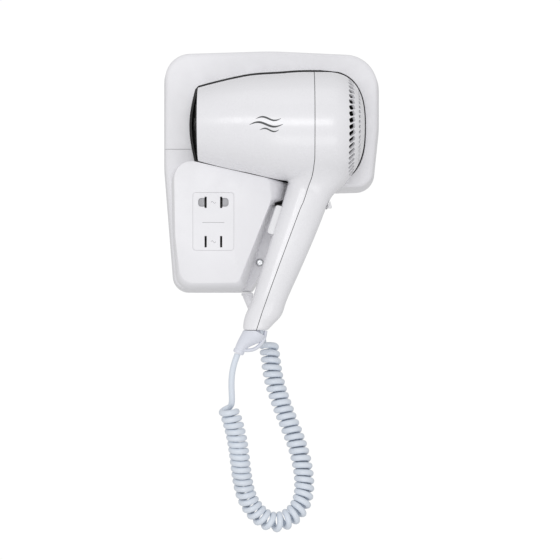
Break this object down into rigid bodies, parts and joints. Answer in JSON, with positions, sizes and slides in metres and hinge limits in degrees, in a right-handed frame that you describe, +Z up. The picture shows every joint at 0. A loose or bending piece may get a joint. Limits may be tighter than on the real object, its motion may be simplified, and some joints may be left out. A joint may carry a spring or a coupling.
{
  "type": "wall-mounted hair dryer",
  "caption": "Wall-mounted hair dryer: a pistol handset docked in an L-shaped holder with a shaver socket, joined by a curly cord.",
  "frame": {"origin": "centre of the holder's flat back face, where it meets the wall", "axes": "+X to the right along the barrel, +Y into the wall, +Z up"},
  "size_m": [0.183, 0.1087, 0.4005],
  "materials": {
    "white_shell": "satin-gloss white ABS",
    "panel_white": "fine matt white",
    "black_nylon": "matt black, glass-filled",
    "grey_block": "light grey thermoset",
    "plated_steel": "zinc-plated steel",
    "brass": "bright brass strip",
    "mica_board": "mica board",
    "copper_winding": "enamelled copper winding under tape",
    "cord_sheath": "soft bluish-white cord sheath"
  },
  "bodies": {
    "holder": {"wall_plate": "grey_block", "tray_cover": "white_shell", "socket_cover": "white_shell", "cradle_liner": "black_nylon", "channel_screw": "plated_steel", "liner_screw_left": "plated_steel", "liner_screw_right": "plated_steel", "socket_insert": "panel_white", "socket_body": "grey_block", "socket_contact_1": "brass", "socket_contact_2": "brass", "socket_contact_3": "brass", "socket_contact_4": "brass", "transformer_core": "plated_steel", "transformer_coil": "copper_winding", "terminal_block": "grey_block", "base_gland": "cord_sheath", "base_lead": "cord_sheath", "curl_cord": "cord_sheath"},
    "handset": {"front_housing": "white_shell", "rear_housing": "white_shell", "outlet_grille": "black_nylon", "heat_tube": "plated_steel", "heater_frame": "mica_board", "heater_coil": "plated_steel", "thermostat": "black_nylon", "fan_motor": "plated_steel", "motor_holder": "black_nylon", "intake_filter": "black_nylon", "paddle_switch": "black_nylon", "slide_switch": "black_nylon", "handle_screw_upper": "plated_steel", "handle_screw_lower": "plated_steel", "handset_gland": "cord_sheath", "handset_lead": "cord_sheath"},
    "fan": {"fan_impeller": "black_nylon", "motor_shaft": "plated_steel"},
    "paddle": {"front_paddle": "white_shell"},
    "thumb": {"thumb_slide": "white_shell"}
  },
  "joints": [
    {"name": "handset_lift", "type": "slide", "parent": "holder", "child": "handset", "axis": [0, -1, 0], "range_m": [0, 0.08]},
    {"name": "fan_spin", "type": "hinge", "parent": "handset", "child": "fan", "pos_m": [0.04, -0.064, 0.034], "axis": [1, 0, 0], "continuous": true},
    {"name": "paddle_press", "type": "hinge", "parent": "handset", "child": "paddle", "pos_m": [0.00363, -0.064, -0.05302], "axis": [0, 1, 0], "range_deg": [0, 5], "stiffness_Nm_per_rad": 0.3, "springref_deg": -4.98},
    {"name": "thumb_travel", "type": "slide", "parent": "handset", "child": "thumb", "axis": [-0.3798, 0, -0.9251], "range_m": [0, 0.006]}
  ]
}
